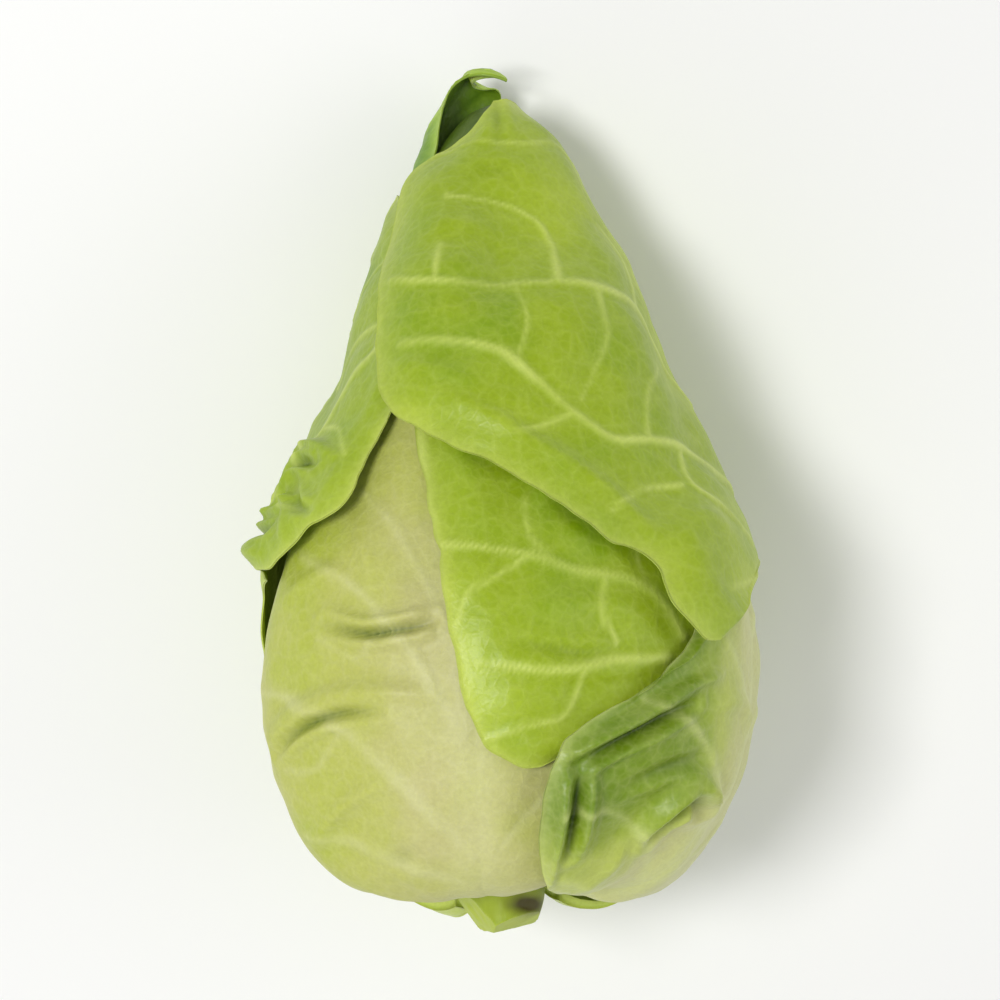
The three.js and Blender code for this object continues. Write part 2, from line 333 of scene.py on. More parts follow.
def build_leaf(spec):
    lines = leaf_lines(spec["rows"])
    wide, long = spec["grid"]
    # even steps along the leaf
    fine = np.linspace(0, 1, 400)
    tracks = [head_points(*spline(line, fine)[:, :2].T, 0) for line in lines]
    moves = [np.linalg.norm(np.diff(track, axis=0), axis=1) for track in tracks]
    travel = np.concatenate([[0], np.cumsum(np.max(moves, axis=0))])
    v_steps = np.interp(np.linspace(0, travel[-1], long), travel, fine)
    u_steps = np.sin(np.linspace(-1, 1, wide) * math.pi / 2 * CROWDING) / math.sin(math.pi / 2 * CROWDING)
    u, v = (g.ravel() for g in np.meshgrid(u_steps, v_steps))
    azimuth, rise, stand = place_on(lines, u, v).T
    heart = head_points(azimuth, rise, 0)
    ragged = np.abs(u) ** 6 * smooth(v, 0.1, 0.3)
    azimuth = azimuth + spec.get("ragged", 1) * ragged * (1.3 * noise(heart, 13, 9) + 0.7 * noise(heart, 4, 10))
    rise = rise + spec.get("ragged", 1) * ragged * (0.5 * noise(heart, 12, 11) + 0.3 * noise(heart, 4, 12))
    heart = head_points(azimuth, rise, 0)

    # distances across the leaf: to the midrib and to the margins
    rib = head_points(*place_on(lines, 0 * u, v)[:, :2].T, 0)
    side = head_points(*place_on(lines, np.sign(u) + (u == 0), v)[:, :2].T, 0)
    to_rib = np.linalg.norm(heart - rib, axis=1)
    half = np.linalg.norm(side - rib, axis=1)
    to_side = (1 - np.abs(u)) * np.maximum(half, 2)
    to_end = (1 - v) * travel[-1] * spec.get("end_scale", 0.5)
    to_edge = np.minimum(to_side, to_end)

    # the midrib and the veins
    rib_width = 11 * (1 - 0.85 * v) * spec.get("rib", 1)
    rib_ridge = np.exp(-((to_rib / rib_width) ** 2)) * (2.4 * (1 - v) ** 1.5 + 0.45)
    relief = rib_ridge.copy()
    vein = 0.75 * np.exp(-((to_rib / (0.5 * rib_width + 0.6)) ** 2))
    nearest = to_rib.copy()
    veins = list(spec.get("veins", ()))
    if "grown" in spec:
        veins += grown_veins(lines, **spec["grown"])
    for path, width, height in veins:
        wobble = 1.2 * noise(heart, 9, 5)
        distance, along = near(heart, path, 16)
        distance = np.abs(distance + wobble * np.minimum(distance / 4, 0.25))
        taper = 1 - 0.4 * along
        ridge = np.exp(-((distance / (width * taper)) ** 2))
        relief = np.maximum(relief, relief * 0.5 + height * taper * ridge)
        drawn = np.exp(-((distance / (0.85 * width * taper)) ** 2)) * (1.0 + 0.45 * noise(heart, 7, 13))
        vein = np.maximum(vein, min(1, 0.38 + 0.55 * height) * drawn * (0.65 + 0.35 * taper))
        nearest = np.minimum(nearest, distance + 2)

    # the blade swells between the veins, and rolls gently
    swell = spec.get("swell", 0.9)
    inside = smooth(to_edge, 0, 9)
    relief += swell * (1 - np.exp(-nearest / 7)) * inside
    relief += 0.7 * (1 + noise(heart, 26, 1)) * inside * spec.get("roll", 1)
    relief += 0.40 * (1 + noise(heart, 8, 2)) * inside * spec.get("roll", 1)
    relief += 0.16 * (1 + noise(heart, 3.6, 3)) * inside

    # folds: ridges stand up, and creases sink between raised lips, with painted shade in the creases
    shade = np.zeros(len(u))
    for path, width, height in spec.get("folds", ()):
        distance, along = near(heart, path, 4 * abs(width))
        fade = np.sin(math.pi * np.clip(along, 0.03, 0.97)) ** 0.6
        core = np.exp(-((distance / width) ** 2)) * fade
        if height > 0:
            relief += height * core
        else:
            lips = np.exp(-(((distance - 1.9 * width) / (1.1 * width)) ** 2)) * fade * (distance < 90)
            relief += -height * (0.9 * lips - 0.5 * core)
            # painted shade, darkest along the middle of each crease
            shade = np.maximum(shade, core**2 * min(1.0, -0.36 * height))
    relief = np.maximum(relief, 0)

    # the margins stand off and wave
    if spec.get("hood"):
        lift = stand
    else:
        margin_stand = np.where(u < 0, spline(lines[0], v)[:, 2], spline(lines[2], v)[:, 2])
        lift = 1.25 * margin_stand * np.exp(-((to_side / spec.get("lift_reach", 9)) ** 2))
    wave = spec.get("wave", 0.8)
    frill = (0.75 + 0.6 * noise(heart, 11, 7) + 0.45 * noise(heart, 5, 8)) * wave
    frilled = smooth(rise, 6, 14) * (1 - 0.75 * smooth(rise, 62, 74))
    lift = lift + np.maximum(frill, 0) * np.exp(-((to_edge / 4.5) ** 2)) * frilled
    for path, width, height in spec.get("lifts", ()):
        distance, along = near(heart, path, 3 * width)
        fade = np.sin(math.pi * np.clip(along, 0.08, 0.92)) ** 0.7
        lift = lift + height * np.exp(-((distance / width) ** 2)) * fade

    low = sample(drape(), azimuth, rise) + GAP
    edge_thin = 0.45 + 0.55 * smooth(to_edge, 0, 5)
    high = low + BLADE * edge_thin + relief
    outer = head_points(azimuth, rise, high + lift)
    inner = head_points(azimuth, rise, low + 0.75 * relief * smooth(to_edge, 0, 3) + lift)
    raise_map(azimuth, rise, high, (long, wide))

    tone = spec["tone"](to_rib, to_edge, v, rise, azimuth) + 0.14 * noise(heart, 30, 4) + 0.10 * noise(heart, 9, 6)
    layers = {
        "tone": np.clip(tone, 0, 1),
        "vein": np.clip(vein * spec.get("vein_show", 1), 0, 1),
        "edge": np.exp(-to_edge / 1.6),
        "painted_shade": shade,
    }
    name = spec["name"] + "_skin"
    band = spec.get("band", INNER_BAND)
    return build_mesh(name, to_row(outer), to_row(inner), wide, layers, band, spec.get("inside", 0))


# Rows from stem to tip: (azimuth, rise, stand-off of the margin in mm) at the left margin, midrib, right margin.
LEAVES = [
    {
        "name": "tip_leaf",
        "slot": "tip_leaf",
        "grid": (170, 230),
        "hood": True,
        "band": 60,
        "rows": [
            [(-75, 3), (-60, 3), (-45, 3)],
            [(-150, 16), (-90, 16), (-30, 16)],
            [(-195, 32), (-112, 32), (-30, 32)],
            [(-200, 52), (-115, 52), (-30, 52)],
            [(-200, 70), (-118, 70), (-36, 70)],
            [(-200, 82), (-120, 82), (-42, 81)],
            [(-165, 86), (-110, 87), (-55, 86)],
            [(-172, 90, 0.5), (-118, 91, 1), (-60, 90, 0.5)],
            [(-184, 94, 2.5), (-122, 95, 3), (-62, 93.5, 3)],
            [(-196, 96.5, 5), (-128, 97.3, 5.5), (-68, 95.8, 5)],
            [(-206, 98, 6.5), (-130, 98.8, 8), (-74, 97.4, 7)],
            [(-200, 99, 6), (-90, 99.5, 8), (-62, 98.4, 7.6)],
            [(-165, 99.3, 5.2), (60, 99.0, 6.8), (48, 98.2, 6.2)],
        ],
        "tone": lambda rib, edge, v, rise, az: 0.8 - 0.45 * np.exp(-edge / 2.5) * smooth(rise, 88, 92),
        # painted shade on the hood's inner face
        "inside": 0.9,
        "grown": {"count": 5, "seed": 3},
        "rib": 0.6,
    },
    {
        "name": "back_leaf",
        "slot": "pale_leaf",
        "grid": (120, 130),
        "rows": [
            [(165, 2), (178, 2), (191, 2)],
            [(125, 12), (178, 12), (228, 12)],
            [(105, 26), (178, 26), (245, 26)],
            [(103, 42), (180, 42), (250, 42)],
            [(110, 56), (182, 57), (248, 56)],
            [(128, 67), (184, 70), (238, 67)],
        ],
        "tone": lambda rib, edge, v, rise, az: 0.25 + 0.4 * smooth(rib, 4, 45) + 0.2 * v,
        "grown": {"count": 5, "seed": 5},
    },
    {
        "name": "left_lower_leaf",
        "slot": "pale_leaf",
        "grid": (130, 140),
        "rows": [
            [(-116, 2), (-101, 2), (-86, 2)],
            [(-160, 10), (-116, 10), (-72, 10)],
            [(-186, 20), (-124, 20), (-62, 20)],
            [(-190, 32), (-124, 32), (-58, 32)],
            [(-184, 44), (-124, 44), (-64, 44)],
            [(-162, 54), (-124, 58), (-86, 54)],
        ],
        "tone": lambda rib, edge, v, rise, az: 0.45 + 0.35 * smooth(rib, 4, 40) + 0.15 * v,
        "grown": {"count": 5, "seed": 6},
    },
    {
        "name": "front_leaf",
        "slot": "cream_leaf",
        "grid": (210, 190),
        "rows": [
            [(-28, 2), (-9, 2), (12, 2)],
            [(-66, 8), (-8, 9), (38, 9)],
            [(-74, 15, 0.5), (-7, 17), (48, 18)],
            [(-75, 25, 1), (-8, 28), (54, 28)],
            [(-72, 36), (-13, 39), (54, 39)],
            [(-66, 48), (-17, 51), (46, 50)],
            [(-52, 60), (-21, 65), (30, 61)],
        ],
        "tone": lambda rib, edge, v, rise, az: 0.08 + 0.42 * smooth(rib, 10, 42) + 0.22 * smooth(rise, 24, 50),
        "rib": 1.5,
        "swell": 1.1,
        "vein_show": 0.55,
        "veins": [
            ([(-10, 12), (-26, 19), (-42, 24), (-58, 27), (-72, 28)], 2.2, 0.9),
            ([(-12, 24), (-26, 32), (-40, 37), (-56, 40)], 2.0, 0.8),
            ([(-8, 8), (-30, 11), (-50, 14), (-66, 15)], 2.2, 0.8),
            ([(-15, 34), (-28, 42), (-42, 47)], 1.6, 0.6),
            ([(-42, 24), (-52, 21), (-64, 21)], 1.2, 0.4),
            ([(-28, 33), (-36, 30), (-48, 32)], 1.2, 0.4),
            ([(-7, 10), (6, 16), (20, 20)], 1.6, 0.6),
        ],
        "folds": [
            ([(-46, 33.4), (-38, 32.4), (-31, 32), (-22, 32.4), (-17, 33)], 1.2, -3.0),
            ([(-68, 24), (-56, 26), (-44, 27), (-31, 27), (-18, 26.4)], 1.7, 2.2),
            ([(-66, 22.4), (-55, 24.2), (-44, 25.2), (-30, 25.4)], 1.2, -2.4),
            ([(-64, 14), (-56, 15.5), (-46, 17.5), (-36, 19), (-29, 19.5)], 1.8, 1.5),
            ([(-38, 13), (-33, 12), (-28, 13)], 2.0, -0.5),
            ([(-60, 36), (-50, 38), (-42, 38)], 2.2, 1.0),
            ([(-40, 44), (-36, 40), (-33, 36)], 2.0, 1.0),
        ],
    },
    {
        "name": "right_inner_leaf",
        "slot": "green_leaf",
        "grid": (210, 230),
        "rows": [
            [(90, 2), (103, 2), (117, 2)],
            [(80, 12), (106, 13), (140, 12)],
            [(58, 21), (106, 25), (150, 24)],
            [(30, 23), (106, 35), (156, 35)],
            [(8, 21, 0.6), (105, 44), (160, 46)],
            [(-3, 21.5, 0.8), (104, 51), (161, 54)],
            [(-9.5, 26, 0.6), (102, 56), (160, 60)],
            [(-13.5, 33, 0.5), (100, 61), (158, 65)],
            [(-18, 43, 0.4), (95, 66), (154, 69)],
            [(-26, 54), (86, 71), (146, 73)],
            [(-30, 64), (72, 76), (130, 76)],
        ],
        "tone": lambda rib, edge, v, rise, az: 0.62 + 0.18 * smooth(rise, 24, 48) - 0.2 * np.exp(-edge / 4),
        "swell": 1.9,
        "wave": 0.3,
        "veins": [
            ([(44, 32), (33, 36.5), (17, 37.5), (5, 39), (-6, 39.5), (-16, 40)], 1.3, 0.85),
            ([(12, 38), (6, 41), (5, 45)], 1.0, 0.5),
            ([(6, 39), (-4, 36), (-8, 35), (-11, 32)], 1.0, 0.5),
            ([(50, 38), (38, 43), (24, 44), (8, 48), (-8, 50)], 1.2, 0.7),
            ([(39, 30), (24, 29.5), (12, 28.5), (-6, 29)], 1.5, 0.8),
            ([(24, 37.5), (22, 34), (26, 31)], 1.0, 0.4),
            ([(-24, 53), (-20, 45), (-17, 40), (-13.5, 33), (-11, 26), (-6, 21.5), (4, 20.5)], 1.6, 0.6),
            ([(18, 29), (14, 25), (4, 24), (-4, 23)], 1.0, 0.45),
            ([(36, 43), (33, 39), (35, 36)], 0.9, 0.4),
        ],
        "folds": [
            ([(-4, 29.6), (6, 28.8), (16, 28.4), (28, 28.8), (38, 30)], 2.0, 1.5),
            ([(0, 31), (8, 30.4), (18, 30), (28, 30.6)], 1.2, -0.8),
            ([(6, 45), (18, 47), (32, 46)], 2.6, 1.4),
            ([(8, 33.6), (18, 34.4), (28, 34)], 2.2, 1.0),
        ],
        "grown": {"count": 6, "seed": 9, "sides": (1,)},
    },
    {
        "name": "right_lower_leaf",
        "slot": "pale_leaf",
        "grid": (190, 180),
        "rows": [
            [(48, 2), (65, 2), (80, 2)],
            [(16, 9, 0.6), (68, 8), (118, 10)],
            [(9, 16.5, 1.5), (70, 16), (130, 20)],
            [(11, 22.5, 2.5), (73, 25), (137, 30)],
            [(22, 26, 2.5), (76, 33), (139, 38)],
            [(36, 28.5, 1), (79, 40), (138, 46)],
            [(48, 34), (83, 47), (132, 53)],
            [(66, 45), (90, 56), (120, 60)],
        ],
        # greener from rise 11 to 20 as painted shade of the folds; paler again from azimuth 42 to 68
        "tone": lambda rib, edge, v, rise, az: (
            0.22 + 0.24 * smooth(rib, 6, 40) + 0.50 * smooth(rise, 11, 20) - 0.74 * smooth(az, 42, 68)
        ),
        "rib": 0.9,
        "swell": 1.0,
        "wave": 0.9,
        "lift_reach": 6,
        "vein_show": 0.7,
        "veins": [
            ([(68, 8), (48, 13), (30, 17), (14, 18)], 1.8, 0.7),
            ([(70, 14), (56, 21), (42, 25), (30, 26.5)], 1.6, 0.7),
            ([(72, 22), (62, 29), (52, 33)], 1.4, 0.6),
            ([(66, 5), (40, 8), (20, 10)], 2.0, 0.7),
        ],
        "folds": [
            ([(12, 21), (13, 17), (14, 13), (16, 9)], 1.2, 2.8),
            ([(16.5, 21.5), (17, 18), (18, 13)], 1.2, -3.0),
            ([(21, 21), (22, 17), (23, 13)], 1.5, 1.8),
            ([(13, 22.5), (26, 25), (40, 27.5), (52, 29)], 1.3, 3.0),
            ([(15, 21.6), (24, 23.2), (36, 25.2), (44, 26.4)], 1.2, -3.4),
            ([(24, 21), (34, 23), (48, 24.6)], 1.5, 1.8),
            ([(28, 19.6), (38, 21.4), (50, 22.4)], 1.4, -1.4),
            ([(44, 13), (41, 17), (47, 20.5), (56, 19.6), (66, 16.5)], 2.0, 2.6),
            ([(46.5, 14), (46, 16.6), (51, 18.4), (59, 17.2)], 1.7, -3.4),
            ([(50, 26), (62, 27), (74, 25)], 2.0, 1.3),
            ([(30, 8), (36, 11), (38, 15)], 2.2, 1.0),
        ],
        "grown": {"count": 4, "seed": 12, "sides": (1,)},
    },
    {
        "name": "left_wrapper_leaf",
        "slot": "green_leaf",
        "grid": (210, 250),
        "rows": [
            [(-168, 2), (-152, 2), (-138, 2)],
            [(-184, 13), (-150, 13), (-134, 13)],
            [(-190, 27), (-130, 25), (-112, 27)],
            [(-198, 39), (-118, 36), (-103, 38, 0.5)],
            [(-203, 49), (-106, 45), (-82, 39.5, 1)],
            [(-206, 56), (-102, 52), (-62, 38.5, 2.4)],
            [(-208, 63), (-98, 58), (-48, 42, 2.5)],
            [(-208, 70), (-94, 64), (-39, 43.5, 2)],
            [(-207, 77), (-90, 70), (-37, 49, 1)],
            [(-205, 81), (-88, 76), (-30, 57)],
            [(-202, 84), (-86, 81), (-20, 68)],
            [(-198, 86), (-86, 85), (-15, 78)],
        ],
        "tone": lambda rib, edge, v, rise, az: 0.55 + 0.22 * smooth(rise, 30, 60) - 0.15 * np.exp(-edge / 5),
        "swell": 1.4,
        "wave": 1.6,
        "ragged": 1.1,
        "lift_reach": 7,
        "veins": [
            ([(-96, 44), (-71, 49), (-64, 54), (-58, 60), (-46, 63), (-36, 66)], 1.6, 0.9),
            ([(-86, 62), (-66, 66), (-48, 67), (-34, 67)], 1.1, 0.6),
            ([(-88, 70), (-70, 74), (-52, 76)], 1.1, 0.6),
            ([(-62, 55), (-52, 54), (-44, 50)], 1.1, 0.5),
            ([(-74, 48), (-64, 45), (-54, 44)], 1.1, 0.5),
        ],
        "folds": [
            ([(-84, 45), (-76, 50), (-68, 52.6), (-57, 52), (-48, 50)], 1.5, 3.2),
            ([(-82, 43.6), (-73, 48), (-65, 50.2), (-55, 49.4)], 1.3, -3.2),
            ([(-94, 47), (-82, 45.6), (-70, 45), (-60, 46)], 1.4, 2.8),
            ([(-90, 44), (-78, 42.6), (-66, 42.6)], 1.3, -3.2),
            ([(-88, 41.6), (-76, 40.6), (-66, 40.2)], 1.4, 2.6),
            ([(-66, 48), (-60, 44), (-56, 41)], 1.5, 1.6),
            ([(-62, 47.6), (-55, 44.4), (-50, 43.6)], 1.3, -1.4),
        ],
        "lifts": [
            ([(-84, 43), (-76, 41), (-68, 41), (-58, 42)], 4.0, 1.8),
        ],
        "grown": {"count": 6, "seed": 14, "sides": (-1,)},
    },
    {
        "name": "right_wrapper_leaf",
        "slot": "green_leaf",
        "grid": (296, 290),
        "band": 8,
        "rows": [
            [(126, 2), (140, 2), (155, 2)],
            [(126, 15), (148, 14), (176, 13)],
            [(122, 29), (146, 28), (202, 25)],
            [(92, 40.5, 0.4), (140, 41), (214, 36)],
            [(63, 37.5, 1.2), (138, 50), (221, 45)],
            [(45, 31.5, 0.8), (137, 59), (225, 52)],
            [(36, 34, 0.8), (136, 62), (228, 57)],
            [(33, 38.5, 1.2), (135, 64.5), (229, 61)],
            [(20, 41, 1.6), (134, 67), (230, 66)],
            [(-6, 48.5, 1.5), (131, 71), (232, 72)],
            [(-32, 55.5, 1), (126, 76), (233, 78)],
            [(-40, 66, 0.5), (118, 82), (234, 83)],
            [(-50, 76, 0.5), (108, 86), (230, 82)],
            [(-54, 85.5, 0.5), (98, 91), (214, 86)],
            [(-30, 90, 1), (92, 94), (186, 90)],
            [(4, 95.5, 1.2), (86, 97.4, 1), (148, 95)],
        ],
        "tone": lambda rib, edge, v, rise, az: (
            0.64 + 0.08 * smooth(20 - az, 0, 50) * smooth(rise, 50, 66) - 0.16 * smooth(az, 45, 100)
        ),
        "swell": 1.8,
        "wave": 0.5,
        "lift_reach": 7,
        "end_scale": 0.25,
        "veins": [
            ([(88, 60), (72, 66), (59, 69), (36, 70), (20, 70), (-16, 69), (-37, 70)], 1.5, 0.95),
            ([(21, 70), (23, 73), (25, 76), (20, 79), (1, 81), (-23, 81)], 1.2, 0.8),
            ([
                (96, 48), (74, 50), (55, 52), (42, 52), (30, 51.5),
                (20, 54), (9, 58), (-1, 61), (-14, 62), (-29, 62),
            ], 1.6, 1.0),
            ([(74, 42), (61, 45), (53, 47.5), (55, 52)], 1.3, 0.8),
            ([(18, 54), (11, 52.5), (3, 51)], 1.0, 0.6),
            ([(49, 47), (36, 46), (25, 43)], 1.1, 0.6),
            ([(-21, 74), (-20, 69)], 0.9, 0.5),
            ([(92, 86), (60, 90), (20, 89), (-20, 89), (-44, 88)], 1.1, 0.6),
            ([(59, 69), (70, 75), (64, 80)], 1.1, 0.5),
            ([(36, 70), (34, 64), (28, 60), (22, 56)], 0.9, 0.4),
            ([(5, 70), (8, 65), (4, 60)], 0.8, 0.35),
            ([(90, 40), (70, 38), (52, 36)], 1.2, 0.6),
            ([(42, 52), (46, 58), (58, 62)], 1.0, 0.5),
        ],
        "folds": [
            ([(-20, 57), (-4, 53), (12, 49), (26, 45), (36, 40)], 2.6, 1.2),
            ([(40, 40), (50, 43), (62, 42)], 2.4, 1.1),
            ([(-34, 60), (-20, 59), (-6, 57)], 2.0, 0.8),
            ([(-20, 84), (0, 85), (10, 84)], 2.0, -0.4),
            ([(4, 97), (6, 93), (4, 89)], 1.3, -0.8),
            ([(-30, 76), (-10, 77), (6, 76)], 3.0, 0.8),
        ],
        "grown": {"count": 8, "seed": 17, "sides": (1,)},
    },
]


# ---------------------------------------------------------------- materials

def node_tree(name):
    material = bpy.data.materials.new(name)
    material.use_nodes = True
    tree = material.node_tree
    shader = tree.nodes["Principled BSDF"]
    return material, tree, shader


def add(tree, kind, **settings):
    node = tree.nodes.new(kind)
    for key, value in settings.items():
        if key in node.inputs:
            node.inputs[key].default_value = value
        else:
            setattr(node, key, value)
    return node


def mix(tree, factor, first, second, mode="MIX"):
    """Colour mixing: factor, first and second are sockets or plain values."""
    node = tree.nodes.new("ShaderNodeMix")
    node.data_type = "RGBA"
    node.blend_type = mode
    for socket, value in ((node.inputs[0], factor), (node.inputs[6], first), (node.inputs[7], second)):
        if isinstance(value, bpy.types.NodeSocket):
            tree.links.new(value, socket)
        else:
            socket.default_value = value
    return node.outputs[2]


def math_node(tree, operation, *values, clamp=False):
    node = tree.nodes.new("ShaderNodeMath")
    node.operation = operation
    node.use_clamp = clamp
    for socket, value in zip(node.inputs, values):
        if isinstance(value, bpy.types.NodeSocket):
            tree.links.new(value, socket)
        else:
            socket.default_value = value
    return node.outputs[0]


def texture(tree, kind, scale, output, **settings):
    place = tree.nodes.new("ShaderNodeTexCoord")
    node = add(tree, kind, Scale=scale, **settings)
    tree.links.new(place.outputs["Object"], node.inputs["Vector"])
    return node.outputs[output]


def attribute(tree, name):
    node = tree.nodes.new("ShaderNodeAttribute")
    node.attribute_name = name
    return node.outputs["Fac"]


def srgb(r, g, b):
    linear = [((c / 255 + 0.055) / 1.055) ** 2.4 if c > 10 else c / 255 / 12.92 for c in (r, g, b)]
    return (*linear, 1.0)


def leaf_material(name, stops, vein_colour, gloss=0.42):
    material, tree, shader = node_tree(name)
    tone = attribute(tree, "tone")
    vein = attribute(tree, "vein")
    edge = attribute(tree, "edge")
    painted_shade = attribute(tree, "painted_shade")
    mottle = texture(tree, "ShaderNodeTexNoise", 70, "Fac", Detail=5.0, Roughness=0.6)
    speckle = texture(tree, "ShaderNodeTexNoise", 900, "Fac", Detail=2.0, Roughness=0.6)
    cells = texture(tree, "ShaderNodeTexVoronoi", 190, "Distance", feature="DISTANCE_TO_EDGE", Randomness=1.0)
    fine = texture(tree, "ShaderNodeTexVoronoi", 420, "Distance", feature="DISTANCE_TO_EDGE", Randomness=1.0)

    shifted = math_node(tree, "MULTIPLY_ADD", mottle, 0.22, -0.11)
    tone = math_node(tree, "ADD", tone, shifted, clamp=True)
    ramp = tree.nodes.new("ShaderNodeValToRGB")
    ramp.color_ramp.interpolation = "EASE"
    while len(ramp.color_ramp.elements) < len(stops):
        ramp.color_ramp.elements.new(0.5)
    for element, (position, colour) in zip(ramp.color_ramp.elements, stops):
        element.position = position
        element.color = srgb(*colour)
    tree.links.new(tone, ramp.inputs["Fac"])

    # net of small veins, paler than the blade
    net = math_node(tree, "SUBTRACT", 1.0, math_node(tree, "MULTIPLY", cells, 5.0, clamp=True))
    net_fine = math_node(tree, "SUBTRACT", 1.0, math_node(tree, "MULTIPLY", fine, 5.0, clamp=True))
    strength = math_node(tree, "MULTIPLY", net, 0.10)
    strength = math_node(tree, "ADD", strength, math_node(tree, "MULTIPLY", net_fine, 0.07))
    colour = mix(tree, strength, ramp.outputs["Color"], srgb(*vein_colour))
    shown = math_node(tree, "MULTIPLY", vein, 0.85, clamp=True)
    colour = mix(tree, shown, colour, srgb(*vein_colour))
    rim = math_node(tree, "MULTIPLY", edge, 0.45)
    colour = mix(tree, rim, colour, srgb(*vein_colour))
    grain = math_node(tree, "MULTIPLY_ADD", speckle, 0.24, 0.88)
    colour = mix(tree, 1.0, colour, grain, "MULTIPLY")
    # painted shade: creases, the hood's inner face and the heart's ends are multiplied towards a darker green
    dark = math_node(tree, "MULTIPLY", painted_shade, 0.9)
    colour = mix(tree, dark, colour, mix(tree, 1.0, colour, srgb(112, 136, 34), "MULTIPLY"))
    tree.links.new(colour, shader.inputs["Base Color"])

    rough = math_node(tree, "MULTIPLY_ADD", mottle, 0.16, gloss - 0.08)
    tree.links.new(rough, shader.inputs["Roughness"])
    shader.inputs["Subsurface Weight"].default_value = 0.18
    shader.inputs["Subsurface Radius"].default_value = (0.9, 1.0, 0.25)
    shader.inputs["Subsurface Scale"].default_value = 0.004
    shader.inputs["Specular IOR Level"].default_value = 0.4

    raised = math_node(tree, "MULTIPLY", net, 0.4)
    raised = math_node(tree, "ADD", raised, math_node(tree, "MULTIPLY", net_fine, 0.25))
    raised = math_node(tree, "ADD", raised, math_node(tree, "MULTIPLY", speckle, 0.35))
    bump = add(tree, "ShaderNodeBump", Strength=0.4, Distance=0.0003)
    tree.links.new(raised, bump.inputs["Height"])
    tree.links.new(bump.outputs["Normal"], shader.inputs["Normal"])
    return material


GREEN_STOPS = [
    (0.0, (208, 210, 108)), (0.35, (176, 196, 54)), (0.65, (148, 172, 22)), (1.0, (114, 150, 6)),
]
PALE_STOPS = [
    (0.0, (198, 200, 130)), (0.4, (180, 192, 90)), (0.7, (144, 166, 44)), (1.0, (106, 136, 16)),
]
CREAM_STOPS = [
    (0.0, (190, 187, 123)), (0.3, (184, 189, 92)), (0.65, (174, 186, 66)), (1.0, (146, 170, 36)),
]
DEEP_STOPS = [
    (0.0, (176, 204, 70)), (0.4, (136, 174, 28)), (0.75, (98, 142, 8)), (1.0, (78, 122, 4)),
]

green = leaf_material("green_leaf_tissue", GREEN_STOPS, (204, 218, 112))
pale = leaf_material("pale_leaf_tissue", PALE_STOPS, (212, 220, 144))
cream = leaf_material("cream_leaf_tissue", CREAM_STOPS, (212, 212, 156), 0.52)
deep = leaf_material("tip_leaf_tissue", DEEP_STOPS, (184, 212, 84))
tissue = {"green_leaf": green, "pale_leaf": pale, "cream_leaf": cream, "tip_leaf": deep}


def stem_material():
    material, tree, shader = node_tree("stem_tissue")
    fibres = add(tree, "ShaderNodeTexNoise", Scale=260.0, Detail=6.0, Roughness=0.65)
    place = tree.nodes.new("ShaderNodeTexCoord")
    stretch = tree.nodes.new("ShaderNodeMapping")
    stretch.inputs["Scale"].default_value = (1.0, 0.16, 1.0)
    tree.links.new(place.outputs["Object"], stretch.inputs["Vector"])
    tree.links.new(stretch.outputs["Vector"], fibres.inputs["Vector"])
    blotch = texture(tree, "ShaderNodeTexNoise", 120, "Fac", Detail=4.0, Roughness=0.6)
    cut = attribute(tree, "cut")
    skin = mix(tree, blotch, srgb(172, 190, 48), srgb(132, 150, 18))
    wood = mix(tree, fibres.outputs["Fac"], srgb(190, 204, 72), srgb(160, 178, 36))
    colour = mix(tree, cut, skin, wood)
    # painted shade: the hollow is mixed towards a near-black brown
    hollow_shade = math_node(tree, "MULTIPLY", attribute(tree, "hollow"), 1.3, clamp=True)
    colour = mix(tree, hollow_shade, colour, srgb(72, 66, 8))
    tree.links.new(colour, shader.inputs["Base Color"])
    shader.inputs["Roughness"].default_value = 0.55
    shader.inputs["Subsurface Weight"].default_value = 0.12
    shader.inputs["Subsurface Radius"].default_value = (0.6, 1.0, 0.2)
    shader.inputs["Subsurface Scale"].default_value = 0.004
    bump = add(tree, "ShaderNodeBump", Strength=0.6, Distance=0.0006)
    tree.links.new(fibres.outputs["Fac"], bump.inputs["Height"])
    tree.links.new(bump.outputs["Normal"], shader.inputs["Normal"])
    return material


# ---------------------------------------------------------------- pieces

def settle(piece, node, material):
    piece.data.materials.append(material)
    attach(piece, "root")
    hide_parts(node)


def build_heart():
    azimuth, rise, wide = heart_grid()
    long = len(azimuth) // wide
    heart = head_points(azimuth, rise, 0)
    lumps = 0.5 * noise(heart, 14, 2)
    points = head_points(azimuth, rise, lumps - 0.6)
    j, i = np.meshgrid(np.arange(long - 1), np.arange(wide), indexing="ij")
    a, b = (j * wide + i).ravel(), (j * wide + (i + 1) % wide).ravel()
    faces = np.stack([a, b, b + wide, a + wide], axis=1)
    # the dimple round the stem is closed by one more point
    points = np.vstack([points, [[0, 0, PROFILE[0][1]]]])
    base = np.arange(wide)
    cap = np.stack([np.full(wide, len(points) - 1), (base + 1) % wide, base, base], axis=1)
    layers = {
        "tone": np.append(0.15 + 0.85 * smooth(rise, 60, 85), 0.1),
        "vein": np.zeros(len(points)),
        "edge": np.zeros(len(points)),
        # painted shade round the stem dimple, full at its closing point, and towards the tip under the tip leaf
        "painted_shade": np.append(np.maximum(smooth(6 - rise, 0, 6), smooth(rise, 84, 92)), 1),
    }
    piece = mesh_object("heart_skin", to_row(points), np.concatenate([faces, cap]), layers)
    settle(piece, "heart", cream)


STEM_RADIUS = 11.5
STEM_CUT = -8.3


